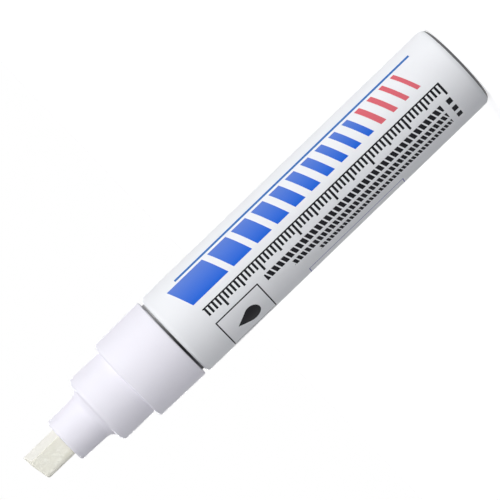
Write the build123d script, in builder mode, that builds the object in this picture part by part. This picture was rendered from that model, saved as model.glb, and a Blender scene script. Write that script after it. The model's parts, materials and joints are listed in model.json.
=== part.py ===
from build123d import *
import math
import os

# A broad chisel-tip paint marker with its cap off, in millimetres and degrees.
# It stands on its closed base, +Z runs up its axis to the nib, and the nib's wide side lies along Y.

# Barrel: a drawn aluminium tube with a closed base and a shoulder rolled in to a lip
barrel_diameter = 19.8
barrel_length = 78.7
barrel_wall = 0.6
base_thickness = 1.0
base_edge_radius = 1.7
shoulder_radius = 1.1
mouth_lip = 1.05
lip_edge_radius = 0.15

# Gasket in the gap between the barrel's shoulder and the front section
gasket_thickness = 0.53
gasket_setback = 1.15

# Front section: collar, cap seat and nib holder in steps, and a spigot that snaps into the barrel
collar_length = 12.4
collar_setback = 0.08
collar_rear_edge_radius = 0.6
collar_front_edge_radius = 0.5
cap_wall = 1.5
cap_seat_length = 8.7
cap_seat_corner_radius = 0.25
cap_seat_edge_radius = 1.0
holder_length = 8.6
holder_wall = 0.65
holder_root_radius = 1.35
holder_edge_radius = 0.45
moulding_draft = 0.18
spigot_length = 10.7
spigot_wall = 1.2
snap_bead_length = 1.2
nose_roof = 1.7
nose_step = 0.65
nose_corner_radius = 0.6

# Nib: a bar of pressed felt, cut off at a slant, with the near corner of its edge bevelled
nib_width = 7.6
nib_thickness = 5.2
nib_corner_radius = 0.7
nib_exposed = 8.6
nib_stroke = 2.0
tip_slant_wide = 4.0
tip_slant_thick = 10.0
tip_bevel_drop = 0.75
tip_bevel_reach = 0.85

# Valve between the paint chamber and the nose
housing_wall = 1.1
housing_plate = 1.4
housing_flange = 1.2
stem_hole_share = 0.4
stem_reach = 3.0
flow_gap = 0.8
head_gap = 1.2
head_thickness = 1.6
plunger_edge_radius = 0.3
seat_thickness = 1.4
seat_undercut = 0.25
guide_pin_radius = 1.4
spring_wire = 0.5
spring_length = 11.0
spring_turns = 7
cage_thickness = 2.0
cage_undercut = 0.25
cage_lip = 0.8
window_count = 6
window_radius = 0.8

# Mixing ball
ball_diameter = 6.0

# Clearances: fixed fits, the felt in its slot, the spring on its pin, the loose ball
fit = 0.05
nib_clearance = 0.1
spring_clearance = 0.3
ball_clearance = 0.05

# Radii that follow from the barrel inwards
barrel_radius = barrel_diameter / 2
barrel_inside = barrel_radius - barrel_wall
shoulder_inside_radius = shoulder_radius - barrel_wall
mouth_radius = barrel_inside - mouth_lip
spigot_radius = mouth_radius - fit
snap_bead_radius = barrel_inside - shoulder_inside_radius - fit
collar_rear_radius = barrel_radius - collar_setback
collar_front_radius = collar_rear_radius - moulding_draft
cap_seat_radius = collar_front_radius - cap_wall
housing_radius = spigot_radius - spigot_wall - fit
housing_bore = housing_radius - housing_wall
nose_radius = housing_radius - nose_step
head_radius = housing_bore - head_gap
stem_hole_radius = housing_bore * stem_hole_share
stem_radius = stem_hole_radius - flow_gap

# Radii that follow from the nib and the guide pin outwards
slot_width = nib_width + 2 * nib_clearance
slot_thickness = nib_thickness + 2 * nib_clearance
slot_corner_radius = nib_corner_radius + nib_clearance
slot_reach = slot_corner_radius + math.hypot(
    slot_width / 2 - slot_corner_radius, slot_thickness / 2 - slot_corner_radius
)
holder_front_radius = slot_reach + holder_wall
holder_rear_radius = holder_front_radius + moulding_draft
spring_radius = guide_pin_radius + spring_clearance + spring_wire / 2

# The step between cap seat and nib holder limits the two curves on it
holder_step = cap_seat_radius - holder_rear_radius
holder_root_curve = min(holder_root_radius, 0.5 * holder_step)
cap_seat_edge_curve = min(cap_seat_edge_radius, 0.4 * holder_step)

# Heights, from the base up
collar_height = barrel_length + gasket_thickness
cap_seat_height = collar_height + collar_length
holder_height = cap_seat_height + cap_seat_length
holder_top = holder_height + holder_length
tip_height = holder_top + nib_exposed
nose_top = holder_height - nose_roof
lip_underside = barrel_length - barrel_wall
snap_bead_top = lip_underside - fit
spigot_end = collar_height - spigot_length

# Heights of the valve, from the spigot's end up
flange_height = spigot_end - housing_flange
cage_low = flange_height + cage_lip
cage_top = cage_low + cage_thickness
head_low = cage_top + spring_length
head_top = head_low + head_thickness
seat_top = head_top + seat_thickness
housing_top = seat_top + housing_plate
stem_top = housing_top + nib_stroke + stem_reach
pin_end = cage_top + nib_stroke + spring_clearance


def corner(sketch, radius, height):
    """The vertex of a half section nearest to a radius and a height."""
    return sketch.vertices().sort_by_distance((radius, height))[0]


def helix_stations(turns, radius, low, high):
    """Points of a helix and its directions there, a quarter turn apart."""
    quarters = 4 * turns
    rise = (high - low) / quarters
    for step in range(quarters + 1):
        turn = math.pi / 2 * step
        point = Vector(radius * math.cos(turn), radius * math.sin(turn), low + rise * step)
        direction = Vector(-math.sin(turn), math.cos(turn), rise / (math.pi / 2 * radius))
        yield point, direction.normalized()


def biarc_joint(start, start_direction, end, end_direction):
    """Where the two arcs of a biarc meet, and the direction there."""
    chord = end - start
    along = chord.dot(start_direction + end_direction)
    spread = 2 * (1 - start_direction.dot(end_direction))
    reach = (math.sqrt(along**2 + spread * chord.dot(chord)) - along) / spread
    first = start + start_direction * reach
    second = end - end_direction * reach
    return (first + second) / 2, (second - first).normalized()


# Barrel
with BuildPart() as barrel:
    with BuildSketch(Plane.XZ) as section:
        with BuildLine():
            Polyline(
                (0, 0),
                (barrel_radius, 0),
                (barrel_radius, barrel_length),
                (mouth_radius, barrel_length),
                (mouth_radius, lip_underside),
                (barrel_inside, lip_underside),
                (barrel_inside, base_thickness),
                (0, base_thickness),
                close=True,
            )
        make_face()
        fillet(corner(section, barrel_radius, 0), base_edge_radius)
        fillet(corner(section, barrel_inside, base_thickness), base_edge_radius - barrel_wall)
        fillet(corner(section, barrel_radius, barrel_length), shoulder_radius)
        fillet(corner(section, barrel_inside, lip_underside), shoulder_inside_radius)
        fillet(corner(section, mouth_radius, barrel_length), lip_edge_radius)
    revolve(axis=Axis.Z)
barrel.part.label = "barrel"

# Gasket
with BuildPart() as barrel_gasket:
    with BuildSketch(Plane.XY.offset(barrel_length)):
        Circle(barrel_radius - gasket_setback)
        Circle(mouth_radius, mode=Mode.SUBTRACT)
    extrude(amount=gasket_thickness)
barrel_gasket.part.label = "barrel_gasket"

# Front section, with the slot that guides the nib
with BuildPart() as front_section:
    with BuildSketch(Plane.XZ) as section:
        with BuildLine():
            Polyline(
                (housing_radius + fit, spigot_end),
                (spigot_radius, spigot_end),
                (spigot_radius, snap_bead_top - snap_bead_length),
                (snap_bead_radius, snap_bead_top - snap_bead_length / 2),
                (snap_bead_radius, snap_bead_top),
                (spigot_radius, snap_bead_top),
                (spigot_radius, collar_height),
                (collar_rear_radius, collar_height),
                (collar_front_radius, cap_seat_height),
                (cap_seat_radius, cap_seat_height),
                (cap_seat_radius, holder_height),
                (holder_rear_radius, holder_height),
                (holder_front_radius, holder_top),
                (0, holder_top),
                (0, nose_top),
                (nose_radius, nose_top),
                (nose_radius, housing_top),
                (housing_radius + fit, housing_top),
                close=True,
            )
        make_face()
        fillet(corner(section, collar_rear_radius, collar_height), collar_rear_edge_radius)
        fillet(corner(section, collar_front_radius, cap_seat_height), collar_front_edge_radius)
        fillet(corner(section, cap_seat_radius, cap_seat_height), cap_seat_corner_radius)
        fillet(corner(section, cap_seat_radius, holder_height), cap_seat_edge_curve)
        fillet(corner(section, holder_rear_radius, holder_height), holder_root_curve)
        fillet(corner(section, holder_front_radius, holder_top), holder_edge_radius)
        fillet(corner(section, nose_radius, nose_top), nose_corner_radius)
    revolve(axis=Axis.Z)
    with BuildSketch(Plane.XY.offset(holder_top)):
        RectangleRounded(slot_thickness, slot_width, slot_corner_radius)
    extrude(amount=nose_top - holder_top, mode=Mode.SUBTRACT)
front_section.part.label = "front_section"

# Nib: its far corner leads, the plane of the cut falls away from it, the bevel takes the near corner
wide_slope = math.tan(math.radians(tip_slant_wide))
thick_slope = math.tan(math.radians(tip_slant_thick))
far_corner = Vector(nib_thickness / 2, nib_width / 2, tip_height)
near_corner = far_corner - Vector(0, nib_width, nib_width * wide_slope)
bevel_on_edge = near_corner - Vector(0, 0, tip_bevel_drop)
bevel_on_side = near_corner - Vector(tip_bevel_reach, 0, tip_bevel_reach * thick_slope)
bevel_normal = (bevel_on_side - far_corner).cross(bevel_on_edge - far_corner)
with BuildPart() as nib:
    with BuildSketch(Plane.XY.offset(stem_top)):
        RectangleRounded(nib_thickness, nib_width, nib_corner_radius)
    extrude(amount=tip_height - stem_top)
    split(bisect_by=Plane(far_corner, z_dir=(-thick_slope, -wide_slope, 1)), keep=Keep.BOTTOM)
    split(bisect_by=Plane(far_corner, z_dir=bevel_normal), keep=Keep.BOTTOM)
nib.part.label = "nib"

# Valve housing, with undercuts that hold the seat and the cage
with BuildPart() as valve_housing:
    with BuildSketch(Plane.XZ):
        with BuildLine():
            Polyline(
                (housing_bore, flange_height),
                (spigot_radius, flange_height),
                (spigot_radius, spigot_end),
                (housing_radius, spigot_end),
                (housing_radius, housing_top),
                (stem_hole_radius, housing_top),
                (stem_hole_radius, seat_top),
                (housing_bore + seat_undercut, seat_top),
                (housing_bore + seat_undercut, head_top),
                (housing_bore, head_top),
                (housing_bore, cage_top),
                (housing_bore + cage_undercut, cage_top),
                (housing_bore + cage_undercut, cage_low),
                (housing_bore, cage_low),
                close=True,
            )
        make_face()
    revolve(axis=Axis.Z)
valve_housing.part.label = "valve_housing"

# Rubber seat that the plunger's head closes against
with BuildPart() as valve_seat:
    with BuildSketch(Plane.XY.offset(head_top)):
        Circle(housing_bore + seat_undercut - fit)
        Circle(stem_hole_radius, mode=Mode.SUBTRACT)
    extrude(amount=seat_thickness)
valve_seat.part.label = "valve_seat"

# Plunger: guide pin in the spring, head under the seat, stem up to the nib's tail
with BuildPart() as valve_plunger:
    with BuildSketch(Plane.XZ) as section:
        with BuildLine():
            Polyline(
                (0, pin_end),
                (guide_pin_radius, pin_end),
                (guide_pin_radius, head_low),
                (head_radius, head_low),
                (head_radius, head_top),
                (stem_radius, head_top),
                (stem_radius, stem_top),
                (0, stem_top),
                close=True,
            )
        make_face()
        fillet(corner(section, guide_pin_radius, pin_end), plunger_edge_radius)
        fillet(corner(section, head_radius, head_low), plunger_edge_radius)
        fillet(corner(section, stem_radius, stem_top), plunger_edge_radius)
    revolve(axis=Axis.Z)
valve_plunger.part.label = "valve_plunger"

# Spring: one wire, wound from the cage up to the plunger's head
coil_low = cage_top + spring_wire / 2
coil_high = head_low - spring_wire / 2
stations = list(helix_stations(spring_turns, spring_radius, coil_low, coil_high))
with BuildPart() as valve_spring:
    with BuildLine() as wire_path:
        for (start, start_direction), (end, end_direction) in zip(stations, stations[1:]):
            middle, middle_direction = biarc_joint(start, start_direction, end, end_direction)
            TangentArc(start, middle, tangent=start_direction)
            TangentArc(middle, end, tangent=middle_direction)
    with BuildSketch(Plane(stations[0][0], z_dir=stations[0][1])):
        Circle(spring_wire / 2)
    sweep(path=wire_path.wires()[0])
valve_spring.part.label = "valve_spring"

# The spring's least gap between turns, and its volume against section times length
wire_points = [arc @ share for arc in wire_path.edges() for share in (0, 0.25, 0.5, 0.75)]
half_turn = len(wire_points) // (2 * spring_turns)
least_gap = min(
    (there - here).length - spring_wire
    for index, here in enumerate(wire_points)
    for there in wire_points[index + half_turn :]
)
wire_volume = math.pi * (spring_wire / 2) ** 2 * wire_path.wires()[0].length
print("spring: least gap between turns", round(least_gap, 3))
print("spring: volume", round(valve_spring.part.volume, 3), "section times length", round(wire_volume, 3))

# Cage under the spring, with windows that let the paint in
with BuildPart() as valve_cage:
    with BuildSketch(Plane.XY.offset(cage_low)):
        Circle(housing_bore + cage_undercut - fit)
        Circle(guide_pin_radius, mode=Mode.SUBTRACT)
        with PolarLocations((spring_radius + spring_wire / 2 + housing_bore) / 2, window_count):
            Circle(window_radius, mode=Mode.SUBTRACT)
    extrude(amount=cage_thickness)
valve_cage.part.label = "valve_cage"

# Mixing ball, at rest on the base
ball_height = base_thickness + ball_clearance + ball_diameter / 2
with BuildPart() as mixing_ball:
    with Locations((0, 0, ball_height)):
        Sphere(ball_diameter / 2)
mixing_ball.part.label = "mixing_ball"
ball_travel = cage_low - ball_clearance - ball_diameter / 2 - ball_height
print("overall height", round(tip_height, 3), "ball travel", round(ball_travel, 3))
print("cap seat: radius", round(cap_seat_radius, 3), "height", round(cap_seat_height, 3))
print("spring foot", round(cage_top, 3), "flange underside", round(flange_height, 3))

os.makedirs("parts", exist_ok=True)
for piece in (
    barrel,
    barrel_gasket,
    front_section,
    nib,
    valve_housing,
    valve_seat,
    valve_plunger,
    valve_spring,
    valve_cage,
    mixing_ball,
):
    export_step(piece.part, f"parts/{piece.part.label}.step")
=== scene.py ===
import json
import math

import bmesh
import bpy
from mathutils import Matrix, Vector, noise


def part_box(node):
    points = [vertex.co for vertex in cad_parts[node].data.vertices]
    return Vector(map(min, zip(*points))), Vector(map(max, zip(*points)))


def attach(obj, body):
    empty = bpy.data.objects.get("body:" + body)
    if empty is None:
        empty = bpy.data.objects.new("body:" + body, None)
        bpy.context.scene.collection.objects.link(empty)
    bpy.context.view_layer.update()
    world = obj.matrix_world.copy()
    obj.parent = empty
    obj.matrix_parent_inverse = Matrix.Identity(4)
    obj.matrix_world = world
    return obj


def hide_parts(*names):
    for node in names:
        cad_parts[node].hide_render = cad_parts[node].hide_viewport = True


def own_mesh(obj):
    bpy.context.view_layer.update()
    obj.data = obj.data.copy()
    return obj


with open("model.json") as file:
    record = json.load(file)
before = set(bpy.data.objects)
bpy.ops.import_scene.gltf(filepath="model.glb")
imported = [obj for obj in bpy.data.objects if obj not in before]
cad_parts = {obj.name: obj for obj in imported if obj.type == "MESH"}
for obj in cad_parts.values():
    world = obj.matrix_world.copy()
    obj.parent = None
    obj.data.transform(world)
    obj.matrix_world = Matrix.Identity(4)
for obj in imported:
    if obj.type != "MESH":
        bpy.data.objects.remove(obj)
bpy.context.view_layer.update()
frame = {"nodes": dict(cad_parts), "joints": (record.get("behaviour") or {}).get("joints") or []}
mm = 0.001
mergeDistance = 1e-7  # metres
onAxis = 1e-6  # metres
scene = bpy.context.scene
scene.view_settings.view_transform = "Standard"
print("frame loaded:", len(frame["nodes"]), "nodes")


# Shader wires: arithmetic on a wire adds Math nodes
class Wire:
    def __init__(self, socket):
        self.socket = socket
        self.tree = socket.id_data

    def node(self, kind, settings, sockets, output=0):
        made = self.tree.nodes.new(kind)
        for name, value in settings.items():
            setattr(made, name, value)
        for key, value in sockets.items():
            if isinstance(value, Wire):
                self.tree.links.new(value.socket, made.inputs[key])
            else:
                made.inputs[key].default_value = value
        return Wire(made.outputs[output])

    def maths(self, operation, *values):
        return self.node("ShaderNodeMath", {"operation": operation}, dict(enumerate(values)))

    def __add__(self, other):
        return self.maths("ADD", self, other)

    def __radd__(self, other):
        return self.maths("ADD", other, self)

    def __sub__(self, other):
        return self.maths("SUBTRACT", self, other)

    def __rsub__(self, other):
        return self.maths("SUBTRACT", other, self)

    def __mul__(self, other):
        return self.maths("MULTIPLY", self, other)

    def __rmul__(self, other):
        return self.maths("MULTIPLY", other, self)

    def __truediv__(self, other):
        return self.maths("DIVIDE", self, other)

    def __pow__(self, other):
        return self.maths("POWER", self, other)

    def __gt__(self, other):
        return self.maths("GREATER_THAN", self, other)

    def __lt__(self, other):
        return self.maths("LESS_THAN", self, other)


def newMaterial(name):
    material = bpy.data.materials.new(name)
    material.use_nodes = True
    shader = material.node_tree.nodes["Principled BSDF"]
    place = Wire(material.node_tree.nodes.new("ShaderNodeTexCoord").outputs["Object"])
    return material, shader, place


def feed(shader, values):
    for name, value in values.items():
        if isinstance(value, Wire):
            value.tree.links.new(value.socket, shader.inputs[name])
        else:
            shader.inputs[name].default_value = value


def grain(place, size, detail=2.0, stretch=(1, 1, 1)):
    # noise of about this grain size in mm, from 0 to 1
    spread = place.node("ShaderNodeMapping", {}, {"Vector": place, "Scale": stretch})
    return place.node("ShaderNodeTexNoise", {}, {
        "Vector": spread, "Scale": 1 / (size * mm), "Detail": detail,
    })


def mixColours(share, first, second):
    return share.node(
        "ShaderNodeMix", {"data_type": "RGBA"}, {0: share, 6: first, 7: second}, output=2
    )


def bumps(height, depth):
    # depth in mm from the lowest to the highest point
    return height.node("ShaderNodeBump", {}, {"Height": height, "Distance": depth * mm, "Strength": 1.0})


def axesOf(place):
    outputs = place.node("ShaderNodeSeparateXYZ", {}, {"Vector": place}).socket.node.outputs
    return [Wire(outputs[name]) for name in "XYZ"]


def between(value, low, high):
    return (value > low) * (value < high)


def paint(red, green, blue):
    return (red, green, blue, 1.0)


# Camera: level with the barrel's front end, looking nearly along +Y, and rolled so that the nib
# points down and left
shot = {
    "azimuth": 14.0,  # degrees from -Y toward +X
    "lean": 43.95,  # degrees from the image's level up to the marker's axis
    "distance": 0.7,  # metres
    "frameWidth": 0.1,  # metres across the image, at the marker's axis
    "eyeHeight": 67.7,  # mm
    "aimHeight": 55.8,  # mm
    "aimAside": 1.81,  # mm
    "sensor": 36.0,  # mm
}
turn = math.radians(shot["azimuth"])
lean = math.radians(shot["lean"])
towardCamera = Vector((math.sin(turn), -math.cos(turn), 0))
aside = Vector((math.cos(turn), math.sin(turn), 0))
upAxis = Vector((0, 0, 1))


def addCamera():
    data = bpy.data.cameras.new("camera")
    data.sensor_width = shot["sensor"]
    data.lens = shot["sensor"] * shot["distance"] / shot["frameWidth"]
    camera = bpy.data.objects.new("camera", data)
    scene.collection.objects.link(camera)
    aim = aside * shot["aimAside"] * mm + upAxis * shot["aimHeight"] * mm
    rise = upAxis * (shot["eyeHeight"] - shot["aimHeight"]) * mm
    eye = aim + rise + towardCamera * shot["distance"]
    backward = (eye - aim).normalized()
    nibward = backward.cross(aside).normalized()
    right = -math.sin(lean) * aside - math.cos(lean) * nibward
    up = math.cos(lean) * aside - math.sin(lean) * nibward
    camera.matrix_world = Matrix.Translation(eye) @ Matrix((right, up, backward)).transposed().to_4x4()
    scene.camera = camera


addCamera()
print("camera placed")

# Studio: white floor and world, two broad lights on one side, one behind, a weak one above and
# a lamp near the nib
studio = {
    "ambient": 0.165,
    "floorColour": 0.7,
    "floorGlow": 0.62,  # what the lit floor lacks to be white
    "floorLight": 0.015,  # how much of it falls on things
    "floorSize": 40.0,  # metres
    "floorDrop": 0.02,  # mm under the base
    "airColour": paint(0.93, 0.955, 1.08),
    # side: degrees round from the camera, rise: degrees above the floor, spread: width in degrees
    "suns": {
        "keyLight": {"side": 60.0, "rise": 10.0, "strength": 2.16, "spread": 72.0},
        "fillLight": {"side": 35.0, "rise": 10.0, "strength": 1.36, "spread": 72.0},
        "backLight": {"side": 180.0, "rise": 10.0, "strength": 2.0, "spread": 28.0},
        "topLight": {"side": -60.0, "rise": 80.0, "strength": 0.28, "spread": 40.0},
    },
    # metres, and watts
    "nibLamp": {"height": 0.118, "forward": 0.16, "aside": -0.06, "size": 0.1, "power": 0.052},
}


def seenDirectly(tree):
    # 1 for what the camera, a reflection or glass sees, 0 for the light that falls on things
    rays = tree.nodes.new("ShaderNodeLightPath")
    seen = Wire(rays.outputs["Is Camera Ray"]) + Wire(rays.outputs["Is Glossy Ray"])
    seen = seen + Wire(rays.outputs["Is Transmission Ray"])
    return seen.maths("MINIMUM", seen, 1.0)


def addFloor():
    mesh = bmesh.new()
    bmesh.ops.create_grid(mesh, x_segments=1, y_segments=1, size=studio["floorSize"] / 2)
    bmesh.ops.translate(mesh, vec=(0, 0, -studio["floorDrop"] * mm), verts=mesh.verts[:])
    data = bpy.data.meshes.new("studioFloor")
    mesh.to_mesh(data)
    mesh.free()
    material = bpy.data.materials.new("studioFloor")
    material.use_nodes = True
    tree = material.node_tree
    tree.nodes.remove(tree.nodes["Principled BSDF"])
    seen = seenDirectly(tree)
    tone = studio["floorColour"]
    lit = seen.node("ShaderNodeBsdfDiffuse", {}, {"Color": paint(tone, tone, tone)})
    strength = studio["floorLight"] + (studio["floorGlow"] - studio["floorLight"]) * seen
    glow = seen.node("ShaderNodeEmission", {}, {"Strength": strength})
    both = seen.node("ShaderNodeAddShader", {}, {0: lit, 1: glow})
    feed(tree.nodes["Material Output"], {"Surface": both})
    data.materials.append(material)
    floor = bpy.data.objects.new("studioFloor", data)
    scene.collection.objects.link(floor)


def addWorld():
    world = bpy.data.worlds.new("studioWorld")
    world.use_nodes = True
    seen = seenDirectly(world.node_tree)
    strength = studio["ambient"] + (1 - studio["ambient"]) * seen
    colour = mixColours(seen, studio["airColour"], paint(1, 1, 1))
    feed(world.node_tree.nodes["Background"], {"Color": colour, "Strength": strength})
    scene.world = world


def addSun(name, lamp):
    data = bpy.data.lights.new(name, "SUN")
    data.energy = lamp["strength"]
    data.angle = math.radians(lamp["spread"])
    side = math.radians(lamp["side"])
    rise = math.radians(lamp["rise"])
    level = math.cos(side) * towardCamera + math.sin(side) * aside
    source = math.cos(rise) * level + math.sin(rise) * upAxis
    sun = bpy.data.objects.new(name, data)
    sun.rotation_euler = source.to_track_quat("Z", "Y").to_euler()
    scene.collection.objects.link(sun)


def addNibLamp(lamp):
    data = bpy.data.lights.new("nibLamp", "AREA")
    data.energy = lamp["power"]
    data.shape = "DISK"
    data.size = lamp["size"]
    place = towardCamera * lamp["forward"] + aside * lamp["aside"] + upAxis * lamp["height"]
    target = upAxis * lamp["height"]
    lampObject = bpy.data.objects.new("nibLamp", data)
    lampObject.location = place
    lampObject.rotation_euler = (place - target).to_track_quat("Z", "Y").to_euler()
    lampObject.visible_camera = False
    scene.collection.objects.link(lampObject)


addFloor()
addWorld()
for name, lamp in studio["suns"].items():
    addSun(name, lamp)
addNibLamp(studio["nibLamp"])
print("studio lit")


# Modelling helpers; lengths in the pieces' settings are in mm
def turnedPiece(corners, steps, arcSteps, closed=False):
    # corners: (radius, height, rounding), in order along the wall's section
    mesh = bmesh.new()
    points = [mesh.verts.new((radius * mm, 0, height * mm)) for radius, height, _ in corners]
    mesh.faces.new(points)
    if not closed:
        ends = (points[-1], points[0])
    for point, (_, _, rounding) in zip(points, corners):
        if rounding:
            bmesh.ops.bevel(
                mesh, geom=[point], offset=rounding * mm, offset_type="OFFSET", segments=arcSteps,
                profile=0.5, affect="VERTICES", material=-1,
            )
    bmesh.ops.delete(mesh, geom=mesh.faces[:], context="FACES_ONLY")
    if not closed:
        bmesh.ops.delete(mesh, geom=[mesh.edges.get(ends)], context="EDGES")
    bmesh.ops.spin(
        mesh, geom=mesh.verts[:] + mesh.edges[:], cent=(0, 0, 0), axis=(0, 0, 1), dvec=(0, 0, 0),
        angle=math.tau, steps=steps, use_merge=True, use_normal_flip=False, use_duplicate=False,
    )
    bmesh.ops.remove_doubles(mesh, verts=mesh.verts[:], dist=mergeDistance)
    bmesh.ops.recalc_face_normals(mesh, faces=mesh.faces[:])
    return mesh


def layBakeMap(mesh, runAt):
    # a map unrolled round Z: across is the angle, up is the run along the section
    longest = max(runAt(vert.co) for vert in mesh.verts)
    bakeMap = mesh.loops.layers.uv.new("OFBake")
    for face in mesh.faces:
        middle = face.calc_center_median()
        facing = math.atan2(middle.y, middle.x)
        for loop in face.loops:
            spot = loop.vert.co
            angle = facing
            if math.hypot(spot.x, spot.y) > onAxis:
                angle += math.remainder(math.atan2(spot.y, spot.x) - facing, math.tau)
            loop[bakeMap].uv = (angle / math.tau + 0.5, runAt(spot) / longest)


def addPiece(name, mesh, body, node, material, sharpAngle=40):
    data = bpy.data.meshes.new(name)
    mesh.to_mesh(data)
    mesh.free()
    data.shade_smooth()
    data.set_sharp_from_angle(angle=math.radians(sharpAngle))
    data.materials.append(material)
    piece = bpy.data.objects.new(name, data)
    scene.collection.objects.link(piece)
    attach(piece, body)
    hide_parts(node)
    print(name, "made:", len(data.polygons), "faces")
    return piece


def dressNode(node, material):
    piece = frame["nodes"][node]
    if not piece.material_slots:
        piece.data.materials.append(material)
    for place in piece.material_slots:
        place.material = material
    print(node, "dressed")


# Barrel: white enamelled tube with a printed panel, bare metal inside and on the rim of its base; the
# metal is coloured dark as painted shade and painted dark reflection
barrel = {
    "steps": 144,
    "wall": 0.6,
    "baseThickness": 1.0,
    "baseEdge": 1.7,
    "shoulder": 0.95,
    "mouthRadius": 8.25,
    "lipEdge": 0.15,
    "white": paint(0.84, 0.848, 0.862),
    "mottledWhite": paint(0.828, 0.838, 0.854),
    "mottleSize": 6.0,
    "peelSize": 0.9,  # ripple of the enamel
    "peelDepth": 0.008,
    # dark bare metal: its darkness is painted shade and painted dark reflection
    "metalWithPaintedShade": paint(0.1, 0.1, 0.105),
    "scratchedMetalWithPaintedShade": paint(0.16, 0.16, 0.165),
    "scratchSize": 0.5,
    "bareRimWithPaintedShade": 0.62,  # from the base; bare metal whose dark colour is painted shade under the base's rounded rim
    "bareWaver": 0.12,
    "bareWaverSize": 1.5,
    "bareLipWithPaintedShade": 0.04,  # from the mouth; bare metal, dark as painted shade in the gap above the gasket
    "bareInside": 0.1,  # under the inner face of the base
    "innerMap": 0.1,  # how much of its size the inside gets on the bake's map
    "mapSlack": 0.01,
}
inks = {
    "panelTurn": 14.0,  # degrees from -Y toward +X, to the middle of the print
    "ends": (6.5, 71.0),  # from the base
    "deepBlue": paint(0.009, 0.12, 0.66),
    "paleBlue": paint(0.11, 0.21, 0.62),
    "lineBlue": paint(0.035, 0.16, 0.48),
    "red": paint(0.68, 0.13, 0.16),
    "black": paint(0.012, 0.012, 0.015),
    "violet": paint(0.2, 0.19, 0.42),
    "topLine": (-9.2, -8.55),  # across the print, from and to
    "barRow": (-7.9, -1.7),
    "barSlant": 0.35,
    "barCount": 14,
    "barFade": 1.5,
    "barShare": (0.9, 0.3),  # inked share of a bar's pitch, front and rear
    "redFrom": 10,
    "rule": (0.1, 0.4),
    "tickWidth": 0.5,
    "ticks": ((1, 1.7), (5, 2.2), (10, 2.7)),  # pitch and length
    "bulletSize": 1.2,
    # row, weight, length and pitch
    "strokes": ((4.5, 1.5, 51.0, 1.3), (6.6, 1.3, 45.0, 1.1), (8.6, 1.1, 39.0, 0.9)),
    "strokeShare": 0.72,  # inked share of a stroke's pitch
    "strokeGap": 1.4,
    "badge": (59.5, 71.0, 4.0, 13.4),  # along the barrel from and to, then across
    "badgeLine": 0.28,
    "dropMiddle": (64.2, 8.6),
    "dropRadius": 2.0,
    "dropTip": 3.9,
    "backBox": (24.0, 50.0, 11.35, 29.0),
    "backLine": 0.22,
    "relief": 0.35,  # how far ink stands up, as a share of the enamel's ripple
}


def barredRow(along, across):
    # slanted bars, broad at the front and thin at the rear; returns blue and red masks
    low, high = inks["ends"]
    atFront, atRear = inks["barShare"]
    slanted = along + across * inks["barSlant"]
    share = (high - slanted) / (high - low)
    share = share.maths("MAXIMUM", share, 0.0)
    phase = inks["barCount"] * share ** inks["barFade"]
    bar = phase.maths("FRACT", phase) < atFront + (atRear - atFront) * share
    row = between(across, *inks["barRow"]) * between(slanted, low, high) * bar
    isRed = phase > inks["redFrom"]
    return row * (1 - isRed), row * isRed


def tickScale(along, across):
    low, high = inks["ends"]
    start = inks["rule"][1]
    marks = between(across, *inks["rule"])
    for pitch, length in inks["ticks"]:
        fromTick = along.maths("PINGPONG", along - low, pitch / 2)
        tick = fromTick < inks["tickWidth"] / 2
        marks = marks.maths("MAXIMUM", marks, tick * between(across, start, start + length))
    return marks * between(along, low - inks["tickWidth"] / 2, high)


def strokeRows(along, across):
    low = inks["ends"][0]
    size = inks["bulletSize"]
    start = low + size + inks["strokeGap"]
    marks = 0
    for row, weight, length, pitch in inks["strokes"]:
        bullet = between(along, low, low + size) * between(across, row - size / 2, row + size / 2)
        inRow = between(across, row - weight / 2, row + weight / 2)
        phase = (along + across * inks["barSlant"]) / pitch
        inked = phase.maths("FRACT", phase) < inks["strokeShare"]
        marks = marks + bullet + between(along, start, low + length) * inRow * inked
    return marks


def frameLines(along, across, box, line):
    left, right, bottom, top = box
    outside = between(along, left, right) * between(across, bottom, top)
    inside = between(along, left + line, right - line) * between(across, bottom + line, top - line)
    return outside - inside


def dropMark(along, across):
    # a round drop drawn out to a point toward the nib
    middle, row = inks["dropMiddle"]
    radius = inks["dropRadius"]
    reach = inks["dropTip"]
    ahead = along - middle
    beside = across - row
    body = (ahead * ahead + beside * beside) < radius * radius
    narrow = radius * math.sqrt(1 - (radius / reach) ** 2)
    join = radius * radius / reach
    taper = beside.maths("ABSOLUTE", beside) < (reach - ahead) * (narrow / (reach - join))
    return body.maths("MAXIMUM", body, taper * between(ahead, join, reach))


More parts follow.
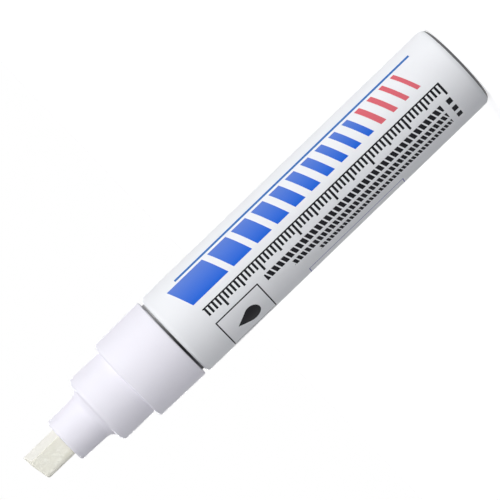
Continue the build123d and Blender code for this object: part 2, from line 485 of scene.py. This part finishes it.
def enamelMaterial():
    material, shader, place = newMaterial("enamelPaint")
    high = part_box("barrel")[1]
    radius = high.x / mm
    length = high.z / mm
    facing = place.node("ShaderNodeMapping", {}, {
        "Vector": place, "Rotation": (0, 0, -math.radians(inks["panelTurn"])),
    })
    x, y, z = axesOf(facing)
    across = x.maths("ARCTAN2", 0 - x, 0 - y) * radius
    along = z / mm
    blue, red = barredRow(along, across)
    line = between(across, *inks["topLine"]) * between(along, *inks["ends"])
    black = tickScale(along, across) + strokeRows(along, across) + dropMark(along, across)
    black = black + frameLines(along, across, inks["badge"], inks["badgeLine"])
    violet = frameLines(along, across, inks["backBox"], inks["backLine"])

    mottle = grain(place, barrel["mottleSize"], 3.0)
    waver = (grain(place, barrel["bareWaverSize"]) - 0.5) * barrel["bareWaver"]
    # bare band at the base, dark as painted shade on the rim's lower rounding
    bareRimWithPaintedShade = along < barrel["bareRimWithPaintedShade"] + waver
    # bare lip at the mouth, dark as painted shade in the gap
    bareLipWithPaintedShade = along > length - barrel["bareLipWithPaintedShade"]
    innerRadius = (radius - barrel["wall"] / 2) * mm
    insideFrom = barrel["baseThickness"] - barrel["bareInside"]
    inner = (x * x + y * y) < innerRadius * innerRadius
    inner = inner * between(along, insideFrom, length - 2 * barrel["wall"])
    bare = bareLipWithPaintedShade + bareRimWithPaintedShade + inner
    shade = mixColours(mottle, barrel["white"], barrel["mottledWhite"])
    rowStart, rowEnd = inks["barRow"]
    rise = (across - rowStart) / (rowEnd - rowStart)
    blueInk = mixColours(rise.maths("MINIMUM", rise, 1.0), inks["paleBlue"], inks["deepBlue"])
    shade = mixColours(blue, shade, blueInk)
    shade = mixColours(line, shade, inks["lineBlue"])
    shade = mixColours(red, shade, inks["red"])
    shade = mixColours(violet, shade, inks["violet"])
    shade = mixColours(black, shade, inks["black"])
    scratch = grain(place, barrel["scratchSize"], 2.0, (1, 1, 6))
    metalWithPaintedShade = mixColours(scratch, barrel["metalWithPaintedShade"], barrel["scratchedMetalWithPaintedShade"])
    shade = mixColours(bare, shade, metalWithPaintedShade)
    ink = (blue + line + red + violet + black) * (1 - bare)
    peel = grain(place, barrel["peelSize"], 1.5)
    feed(shader, {
        "Base Color": shade,
        "Metallic": bare,
        "Roughness": 0.4 + 0.08 * mottle - 0.05 * ink,
        "Specular IOR Level": 0.1,
        "Normal": bumps(peel + inks["relief"] * ink, barrel["peelDepth"]),
    })
    return material


def makeBarrel():
    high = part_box("barrel")[1]
    radius = high.x / mm
    length = high.z / mm
    inside = radius - barrel["wall"]
    shoulderInside = barrel["shoulder"] - barrel["wall"]
    corners = [
        (0, 0, 0),
        (radius, 0, barrel["baseEdge"]),
        (radius, length, barrel["shoulder"]),
        (barrel["mouthRadius"], length, barrel["lipEdge"]),
        (barrel["mouthRadius"], length - barrel["wall"], 0),
        (inside, length - barrel["wall"], shoulderInside),
        (inside, barrel["baseThickness"], barrel["baseEdge"] - barrel["wall"]),
        (0, barrel["baseThickness"], 0),
    ]
    mesh = turnedPiece(corners, barrel["steps"], arcSteps=10)
    slack = barrel["mapSlack"]

    def runAt(spot):
        # along the base, up the wall and over the lip, then briefly down the inside
        out, up = math.hypot(spot.x, spot.y) / mm, spot.z / mm
        within = barrel["baseThickness"] - slack < up < length - barrel["wall"] + slack
        if within and out < inside + slack:
            return 2 * radius + length + barrel["innerMap"] * (length - up + inside - out)
        return up + (out if up < length / 2 else 2 * radius - out)

    layBakeMap(mesh, runAt)
    addPiece("barrelShell", mesh, "marker_body", "barrel", enamelMaterial())


makeBarrel()

# Gasket: dark ring in the gap behind the front section, with painted light on the sides where light
# falls into the gap
gasket = {
    "steps": 96,
    "edge": 0.12,
    "dark": paint(0.038, 0.038, 0.038),
    "dustAndPaintedLight": paint(0.95, 0.95, 0.95),  # painted light where light falls into the gap
    "paintedLightSides": ((-18.0, 1.0), (-170.0, 0.55)),  # degrees from +X, and how much painted light
    "paintedLightFall": 3.0,  # how fast the painted light fades round the ring
    "paintedLightMiddle": 0.24,  # painted light on its middle line, as a share of that at its edges
    "paintedLightDust": (0.6, 0.8),  # steady painted light, and what the dust noise adds
}


def gasketPaintedLight(place, dust):
    # painted light on the ring: most on two sides, where light falls into the gap, and toward its edges
    low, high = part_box("barrel_gasket")
    middle = (low.z + high.z) / 2 / mm
    half = (high.z - low.z) / 2 / mm
    steady, dusty = gasket["paintedLightDust"]
    x, y, z = (axis / mm for axis in axesOf(place))
    reach = (x * x + y * y) ** 0.5
    paleShare = 0
    for side, share in gasket["paintedLightSides"]:
        turned = math.radians(side)
        toward = (x * math.cos(turned) + y * math.sin(turned)) / reach
        paleShare = paleShare + share * toward.maths("MAXIMUM", toward, 0.0) ** gasket["paintedLightFall"]
    fromMiddle = (z - middle) / half
    edge = fromMiddle.maths("ABSOLUTE", fromMiddle)
    paleShare = paleShare * (gasket["paintedLightMiddle"] + (1 - gasket["paintedLightMiddle"]) * edge)
    return paleShare * (steady + dusty * dust)


def rubberMaterial(name, dark, dustAndPaintedLight, paleShareAt=None):
    material, shader, place = newMaterial(name)
    dust = grain(place, 0.8, 4.0)
    # for the gasket this share is painted light, for the seat it is dust
    paleShare = paleShareAt(place, dust) if paleShareAt else dust
    feed(shader, {
        "Base Color": mixColours(paleShare, dark, dustAndPaintedLight),
        "Roughness": 0.7 + 0.2 * dust,
        "Specular IOR Level": 0.05,
        "Normal": bumps(grain(place, 0.25, 3.0), 0.02),
    })
    return material


def makeGasket():
    low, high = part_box("barrel_gasket")
    inner = barrel["mouthRadius"]
    edge = gasket["edge"]
    corners = [
        (inner, low.z / mm, edge),
        (high.x / mm, low.z / mm, edge),
        (high.x / mm, high.z / mm, edge),
        (inner, high.z / mm, edge),
    ]
    mesh = turnedPiece(corners, gasket["steps"], closed=True, arcSteps=4)
    material = rubberMaterial("gasketRubber", gasket["dark"], gasket["dustAndPaintedLight"], gasketPaintedLight)
    addPiece("gasketRing", mesh, "marker_body", "barrel_gasket", material)


makeGasket()

# Front section: collar, cap seat and nib holder in one white moulding, with the nib's slot
front = {
    "steps": 144,
    "collarLength": 12.4,
    "collarSetback": 0.08,
    "draft": 0.18,
    "collarRearEdge": 0.35,
    "collarFrontEdge": 0.5,
    "capWall": 1.5,
    "capSeatLength": 8.7,
    "capSeatCorner": 0.25,
    "capSeatEdge": 1.0,
    "holderRadius": 5.086,
    "flare": 1.1,  # at the holder's root
    "flareLength": 1.35,
    "flareCurve": 0.6,
    "holderRoot": 0.3,
    "holderEdge": 0.45,
    "rimInset": 0.46,
    "spigotRadius": 8.2,
    "spigotBore": 7.0,
    "spigotEdge": 0.1,
    "beadRadius": 8.75,
    "beadLength": 1.2,
    "beadEdge": 0.1,
    "beadFit": 0.05,  # under the barrel's lip
    "noseRadius": 6.3,
    "noseRoof": 1.7,
    "noseCorner": 0.6,
    "slotClearance": 0.1,
    "slotCorner": 0.7,
    "slotEdge": 0.1,
    "white": paint(0.838, 0.823, 0.88),
    "shadeWhite": paint(0.823, 0.808, 0.87),
    "cloudSize": 5.0,
    "sparkSize": 0.22,  # the mould's fine spark pattern
    "skinDepth": 0.006,
    "partingWidth": 0.1,
    "partingRise": 2.0,  # times the depth of the skin
}


def mouldedMaterial():
    material, shader, place = newMaterial("mouldedWhite")
    cloud = grain(place, front["cloudSize"], 3.0)
    spark = grain(place, front["sparkSize"], 2.0)
    side = axesOf(place)[1] / mm
    parting = side.maths("ABSOLUTE", side) < front["partingWidth"] / 2
    feed(shader, {
        "Base Color": mixColours(cloud, front["white"], front["shadeWhite"]),
        "Roughness": 0.42 + 0.1 * cloud,
        "Specular IOR Level": 0.3,
        "Normal": bumps(spark + front["partingRise"] * parting, front["skinDepth"]),
    })
    return material


def slotReach(angle, halfX, halfY, corner):
    # distance from the middle to a rounded rectangle's edge, along this angle
    across, up = abs(math.cos(angle)), abs(math.sin(angle))
    tiny = 1e-9
    reach = min(halfX / max(across, tiny), halfY / max(up, tiny))
    middleX, middleY = halfX - corner, halfY - corner
    if reach * across > middleX and reach * up > middleY:
        toward = across * middleX + up * middleY
        reach = toward + math.sqrt(toward**2 - middleX**2 - middleY**2 + corner**2)
    return reach


def slotLoop(mesh, height, halfX, halfY, corner):
    made = bmesh.ops.create_circle(mesh, cap_ends=False, segments=front["steps"], radius=1.0)
    for vert in made["verts"]:
        reach = slotReach(math.atan2(vert.co.y, vert.co.x), halfX, halfY, corner)
        vert.co = Vector((vert.co.x * reach, vert.co.y * reach, height))
    ring = set(made["verts"])
    return [edge for edge in mesh.edges if ring.issuperset(edge.verts)]


def makeFront():
    low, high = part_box("front_section")
    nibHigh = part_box("nib")[1]
    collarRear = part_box("barrel")[1].x / mm - front["collarSetback"]
    collarFront = collarRear - front["draft"]
    capSeat = collarFront - front["capWall"]
    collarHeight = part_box("barrel_gasket")[1].z / mm
    capHeight = collarHeight + front["collarLength"]
    holderHeight = capHeight + front["capSeatLength"]
    top = high.z / mm
    foot = low.z / mm
    holderRear = front["holderRadius"] + front["draft"]
    rim = front["holderRadius"] - front["rimInset"]
    spigot = front["spigotRadius"]
    bead = front["beadRadius"]
    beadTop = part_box("barrel")[1].z / mm - barrel["wall"] - front["beadFit"]
    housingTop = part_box("valve_housing")[1].z / mm
    roof = holderHeight - front["noseRoof"]
    corners = [
        (rim, top, 0),
        (front["holderRadius"], top, front["holderEdge"]),
        (holderRear, holderHeight + front["flareLength"], front["flareCurve"]),
        (holderRear + front["flare"], holderHeight, front["holderRoot"]),
        (capSeat, holderHeight, front["capSeatEdge"]),
        (capSeat, capHeight, front["capSeatCorner"]),
        (collarFront, capHeight, front["collarFrontEdge"]),
        (collarRear, collarHeight, front["collarRearEdge"]),
        (spigot, collarHeight, 0),
        (spigot, beadTop, 0),
        (bead, beadTop, front["beadEdge"]),
        (bead, beadTop - front["beadLength"] / 2, front["beadEdge"]),
        (spigot, beadTop - front["beadLength"], 0),
        (spigot, foot, front["spigotEdge"]),
        (front["spigotBore"], foot, front["spigotEdge"]),
        (front["spigotBore"], housingTop, 0),
        (front["noseRadius"], housingTop, 0),
        (front["noseRadius"], roof, front["noseCorner"]),
        (rim, roof, 0),
    ]
    mesh = turnedPiece(corners, front["steps"], arcSteps=8)
    rims = [edge for edge in mesh.edges if edge.is_boundary]
    slotMiddle = (top + roof) / 2 * mm
    topRim = [edge for edge in rims if edge.verts[0].co.z > slotMiddle]
    roofRim = [edge for edge in rims if edge.verts[0].co.z < slotMiddle]
    halfX = nibHigh.x + front["slotClearance"] * mm
    halfY = nibHigh.y + front["slotClearance"] * mm
    corner = front["slotCorner"] * mm
    topSlot = slotLoop(mesh, top * mm, halfX, halfY, corner)
    roofSlot = slotLoop(mesh, roof * mm, halfX, halfY, corner)
    for pair in (topRim + topSlot, roofRim + roofSlot, topSlot + roofSlot):
        bmesh.ops.bridge_loops(mesh, edges=pair)
    bmesh.ops.bevel(
        mesh, geom=topSlot, offset=front["slotEdge"] * mm, offset_type="OFFSET", segments=2,
        profile=0.5, affect="EDGES", material=-1,
    )
    bmesh.ops.recalc_face_normals(mesh, faces=mesh.faces[:])
    addPiece("frontMoulding", mesh, "marker_body", "front_section", mouldedMaterial())


makeFront()

# Nib: a bar of pressed felt cut at a slant, worn at its edges and wet with paint on one side, with
# painted shade along one ridge, round the tip and by the holder, and a painted tint on its lit side
nib = {
    "corners": (1.1, 0.08, 0.5, 0.5),  # near -X, near +X, far -X, far +X
    "barStretch": 1.05,  # length of the bar before it is cut
    "wornTip": 0.8,  # radius worn on the tip's low side
    "wornCuts": (25, 45, 65),  # degrees of the cuts that round it
    "slantWide": 4.0,
    "slantThick": 10.0,
    "bevelDrop": 0.75,
    "bevelReach": 0.85,
    "wear": 0.22,
    "wearZone": 4.0,  # from the tip
    "voxel": 0.12,
    "fibre": 0.025,
    "fibreScale": (3, 1.1),  # across and along the bar
    "tuft": 0.01,
    "tuftScale": 6,
    "smoothRounds": 2,
    "smoothShare": 0.4,
    "felt": paint(0.955, 0.94, 0.845),
    "feltShade": paint(0.92, 0.905, 0.77),
    # painted tint of the lit +X side
    "feltPaintedLitSide": paint(0.911, 0.896, 0.825),
    # painted shade along the ridge of the near and +X sides, round the tip and by the holder
    "feltPaintedShade": paint(0.76, 0.745, 0.63),
    "wetPaint": paint(0.94, 0.93, 0.82),
    "edgeRamp": (0.15, 0.57),  # a normal's turn toward both sides, at no edge and at full edge
    "tipEdge": 0.3,  # share of the painted edge shade round the tip
    # painted shade of the holder, along the near face, from the holder
    "holderShade": {"across": -1.5, "width": 0.4, "length": 5.0, "depth": 0.9},
    "ridgesFrom": 0.3,  # above the holder
    "wetReach": 2.2,  # times a ridge's width
    # paint ridges on the near face: start and end (across X, down from the tip), width and height
    "ridges": (
        ((0.5, 5.2), (-0.5, 6.2), 0.2, 0.09),
        ((-1.0, 5.0), (-1.3, 5.5), 0.2, 0.1),
        ((-1.2, 4.4), (-1.3, 4.5), 0.2, 0.08),
        ((0.9, 3.5), (0.5, 3.2), 0.18, 0.05),
        ((0.6, 6.6), (0.2, 6.9), 0.2, 0.05),
        ((-1.7, 2.6), (-1.9, 2.8), 0.2, 0.06),
    ),
}


def ridgeHeight(spot, tip):
    # paint standing on the near face, in metres, and how wet the felt is there
    across, down = spot.x / mm, (tip - spot.z) / mm
    here = Vector((across, down))
    height, wet = 0.0, 0.0
    for start, end, width, rise in nib["ridges"]:
        first, last = Vector(start), Vector(end)
        span = last - first
        share = min(max((here - first).dot(span) / span.length_squared, 0), 1)
        away = (here - first - span * share).length / width
        height = max(height, rise * math.exp(-(away**2)) * mm)
        wet = max(wet, math.exp(-((away / nib["wetReach"]) ** 2)))
    return height, wet


def holderShadeAt(spot, holderTop):
    # painted shade where the nib leaves its holder, from 0 to 1
    holderShade = nib["holderShade"]
    beside = (spot.x / mm - holderShade["across"]) / holderShade["width"]
    fade = max(1 - max(spot.z - holderTop, 0.0) / mm / holderShade["length"], 0.0)
    return holderShade["depth"] * fade * math.exp(-(beside**2))


def cutNib(mesh, point, normal):
    cut = bmesh.ops.bisect_plane(
        mesh, geom=mesh.verts[:] + mesh.edges[:] + mesh.faces[:], plane_co=point, plane_no=normal,
        clear_outer=True,
    )
    rim = [part for part in cut["geom_cut"] if isinstance(part, bmesh.types.BMEdge)]
    bmesh.ops.edgeloop_fill(mesh, edges=rim)


def feltBar():
    low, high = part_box("nib")
    mesh = bmesh.new()
    size = high - low
    size.z *= nib["barStretch"]
    bmesh.ops.create_cube(mesh, size=1.0)
    bmesh.ops.scale(mesh, vec=size, verts=mesh.verts[:])
    bmesh.ops.translate(mesh, vec=(0, 0, low.z + size.z / 2), verts=mesh.verts[:])
    upright = [edge for edge in mesh.edges if edge.calc_length() > size.z / 2]
    upright.sort(key=lambda edge: (edge.verts[0].co.y > 0, edge.verts[0].co.x > 0))
    for edge, radius in zip(upright, nib["corners"]):
        bmesh.ops.bevel(
            mesh, geom=[edge], offset=radius * mm, offset_type="OFFSET", segments=6,
            profile=0.5, affect="EDGES", material=-1,
        )
    wide = math.tan(math.radians(nib["slantWide"]))
    thick = math.tan(math.radians(nib["slantThick"]))
    far = Vector((high.x, high.y, high.z))
    near = far - Vector((0, size.y, size.y * wide))
    onEdge = near - Vector((0, 0, nib["bevelDrop"] * mm))
    onSide = near - Vector((nib["bevelReach"] * mm, 0, nib["bevelReach"] * mm * thick))
    cutNib(mesh, far, Vector((-thick, -wide, 1)))
    cutNib(mesh, far, (onSide - far).cross(onEdge - far).normalized())
    paleShare = nib["wornTip"] * mm
    lowSide = far - Vector((size.x - paleShare, 0, (size.x - paleShare) * thick + paleShare))
    for angle in nib["wornCuts"]:
        sine, cosine = math.sin(math.radians(angle)), math.cos(math.radians(angle))
        normal = Vector((-sine, -wide * cosine, cosine))
        cutNib(mesh, lowSide + paleShare * Vector((-sine, 0, cosine)), normal)
    wearFrom = high.z - nib["wearZone"] * mm
    tipEdges = [edge for edge in mesh.edges if min(vert.co.z for vert in edge.verts) > wearFrom]
    bmesh.ops.bevel(
        mesh, geom=tipEdges, offset=nib["wear"] * mm, offset_type="OFFSET", segments=3,
        profile=0.5, affect="EDGES", material=-1, clamp_overlap=True,
    )
    bmesh.ops.recalc_face_normals(mesh, faces=mesh.faces[:])
    return mesh


def remeshed(mesh, voxel):
    data = bpy.data.meshes.new("feltBar")
    mesh.to_mesh(data)
    mesh.free()
    helper = bpy.data.objects.new("feltBar", data)
    scene.collection.objects.link(helper)
    remesh = helper.modifiers.new("felt", "REMESH")
    remesh.mode = "VOXEL"
    remesh.voxel_size = voxel * mm
    evaluated = helper.evaluated_get(bpy.context.evaluated_depsgraph_get())
    result = bmesh.new()
    result.from_mesh(evaluated.to_mesh())
    evaluated.to_mesh_clear()
    bpy.data.objects.remove(helper)
    bpy.data.meshes.remove(data)
    return result


def feltMaterial():
    material, shader, place = newMaterial("pressedFelt")
    wet, edge, side = (
        place.node("ShaderNodeAttribute", {"attribute_name": name}, {}, output=2)
        for name in ("wet", "edge", "side")
    )
    blotch = grain(place, 1.6, 3.0)
    fibres = grain(place, 0.16, 3.0, (1, 1, 0.35))
    dry = mixColours(blotch, nib["feltShade"], nib["felt"])
    # side: painted tint where the +X side faces the lights
    dry = mixColours(side, dry, nib["feltPaintedLitSide"])
    # edge: painted shade on the ridge, round the tip and by the holder
    dry = mixColours(edge, dry, nib["feltPaintedShade"])
    feed(shader, {
        "Base Color": mixColours(wet, dry, nib["wetPaint"]),
        "Roughness": 0.85 - 0.5 * wet - 0.1 * blotch,
        "Coat Weight": 0.35 * wet,
        "Specular IOR Level": 0.35,
        "Normal": bumps(fibres * (1 - 0.8 * wet), 0.06),
    })
    return material


def edgeShare(first, second):
    low, high = nib["edgeRamp"]
    return min(max((min(first, second) - low) / (high - low), 0.0), 1.0)


def smoothNib(mesh):
    bmesh.ops.smooth_vert(
        mesh, verts=mesh.verts[:], factor=nib["smoothShare"],
        use_axis_x=True, use_axis_y=True, use_axis_z=True,
    )


def makeNib():
    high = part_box("nib")[1]
    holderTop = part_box("front_section")[1].z
    mesh = remeshed(feltBar(), nib["voxel"])
    wetness = mesh.verts.layers.float.new("wet")
    paintedShade = mesh.verts.layers.float.new("edge")
    paintedLitSide = mesh.verts.layers.float.new("side")
    for _ in range(nib["smoothRounds"]):
        smoothNib(mesh)
    mesh.normal_update()
    acrossScale, alongScale = nib["fibreScale"]
    ridgesFrom = holderTop + nib["ridgesFrom"] * mm
    for vert in mesh.verts:
        spot = vert.co / mm
        felt = noise.noise(Vector((spot.x * acrossScale, spot.y * acrossScale, spot.z * alongScale)))
        tuft = noise.noise(spot * nib["tuftScale"])
        lift = (nib["fibre"] * felt + nib["tuft"] * tuft) * mm
        facing = max(-vert.normal.y, 0.0)
        if vert.co.z > ridgesFrom:
            ridge, wet = ridgeHeight(vert.co, high.z)
            lift += ridge * facing
            vert[wetness] = wet * facing
        vert.co += vert.normal * lift
    smoothNib(mesh)
    bmesh.ops.recalc_face_normals(mesh, faces=mesh.faces[:])
    mesh.normal_update()
    for vert in mesh.verts:
        # painted shade: 0 on the flat sides, 1 where the near side and the +X side meet, less round the
        # tip
        alongside = edgeShare(vert.normal.x, -vert.normal.y)
        roundTip = edgeShare(vert.normal.z, max(vert.normal.x, -vert.normal.y))
        edge = max(alongside, nib["tipEdge"] * roundTip)
        # the painted holder shade joins the painted edge shade
        vert[paintedShade] = max(edge, holderShadeAt(vert.co, holderTop) * max(-vert.normal.y, 0.0))
        # painted tint on the +X side, where the lights fall
        vert[paintedLitSide] = max(vert.normal.x, 0.0) ** 2
    addPiece("feltNib", mesh, "nib_unit", "nib", feltMaterial(), sharpAngle=180)


makeNib()

# Steel pieces inside: the valve's spring, and the loose ball
coil = {
    "turns": 7,
    "wire": 0.5,
    "wireSides": 12,
    "turnSteps": 32,
    "steel": paint(0.6, 0.6, 0.61),
    "shade": paint(0.45, 0.45, 0.47),
    "roughness": 0.28,
    "markSize": 0.2,
    "stretch": (1, 1, 4),
}
ball = {
    "divisions": 5,
    "steel": paint(0.75, 0.75, 0.76),
    "shade": paint(0.66, 0.66, 0.68),
    "roughness": 0.08,
    "markSize": 1.2,
    "stretch": (1, 1, 1),
}


def steelMaterial(name, finish):
    material, shader, place = newMaterial(name)
    marks = grain(place, finish["markSize"], 3.0, finish["stretch"])
    feed(shader, {
        "Base Color": mixColours(marks, finish["steel"], finish["shade"]),
        "Metallic": 1.0,
        "Roughness": finish["roughness"] + 0.12 * marks,
        "Normal": bumps(marks, 0.004),
    })
    return material


def makeSpring():
    low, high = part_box("valve_spring")
    wire = coil["wire"] * mm
    steps = coil["turns"] * coil["turnSteps"]
    foot = low.z + wire / 2
    rise = high.z - low.z - wire
    radius = high.x - wire / 2
    pitch = math.atan2(rise / coil["turns"], math.tau * radius)
    stand = Matrix.Rotation(math.radians(90) + pitch, 4, "X")
    mesh = bmesh.new()
    bmesh.ops.create_circle(
        mesh, cap_ends=False, segments=coil["wireSides"], radius=wire / 2,
        matrix=Matrix.Translation((radius, 0, foot)) @ stand,
    )
    bmesh.ops.spin(
        mesh, geom=mesh.verts[:] + mesh.edges[:], cent=(0, 0, 0), axis=(0, 0, 1),
        dvec=(0, 0, rise / steps), angle=math.tau * coil["turns"], steps=steps,
        use_merge=False, use_normal_flip=False, use_duplicate=False,
    )
    bmesh.ops.holes_fill(mesh, edges=[edge for edge in mesh.edges if edge.is_boundary], sides=0)
    bmesh.ops.recalc_face_normals(mesh, faces=mesh.faces[:])
    steel = steelMaterial("springWire", coil)
    spring = addPiece("springCoil", mesh, "marker_body", "valve_spring", steel)
    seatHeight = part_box("valve_cage")[1].z
    stroke = next(joint for joint in frame["joints"] if joint["name"] == "nib_press")["range_m"][1]
    free = high.z - seatHeight
    (free - stroke) / free
    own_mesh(spring)


def makeBall():
    low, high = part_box("mixing_ball")
    mesh = bmesh.new()
    bmesh.ops.create_icosphere(
        mesh, subdivisions=ball["divisions"], radius=(high.z - low.z) / 2,
        matrix=Matrix.Translation((low + high) / 2),
    )
    steel = steelMaterial("ballSteel", ball)
    addPiece("steelBall", mesh, "agitator", "mixing_ball", steel)


makeSpring()
makeBall()

# Rest of the valve: three mouldings of natural plastic and a rubber seat, in their CAD shapes
valve = {
    "mouldings": ("valve_housing", "valve_plunger", "valve_cage"),
    "plastic": paint(0.8, 0.8, 0.75),
    "plasticShade": paint(0.72, 0.73, 0.68),
    "seat": paint(0.05, 0.05, 0.05),
    "seatShade": paint(0.1, 0.1, 0.1),
}


def naturalMoulding():
    material, shader, place = newMaterial("naturalMoulding")
    cloud = grain(place, 3.0, 3.0)
    feed(shader, {
        "Base Color": mixColours(cloud, valve["plastic"], valve["plasticShade"]),
        "Roughness": 0.45 + 0.15 * cloud,
        "Specular IOR Level": 0.4,
        "Normal": bumps(grain(place, 0.3, 2.0), 0.01),
    })
    return material


moulding = naturalMoulding()
for node in valve["mouldings"]:
    dressNode(node, moulding)
dressNode("valve_seat", rubberMaterial("seatRubber", valve["seat"], valve["seatShade"]))
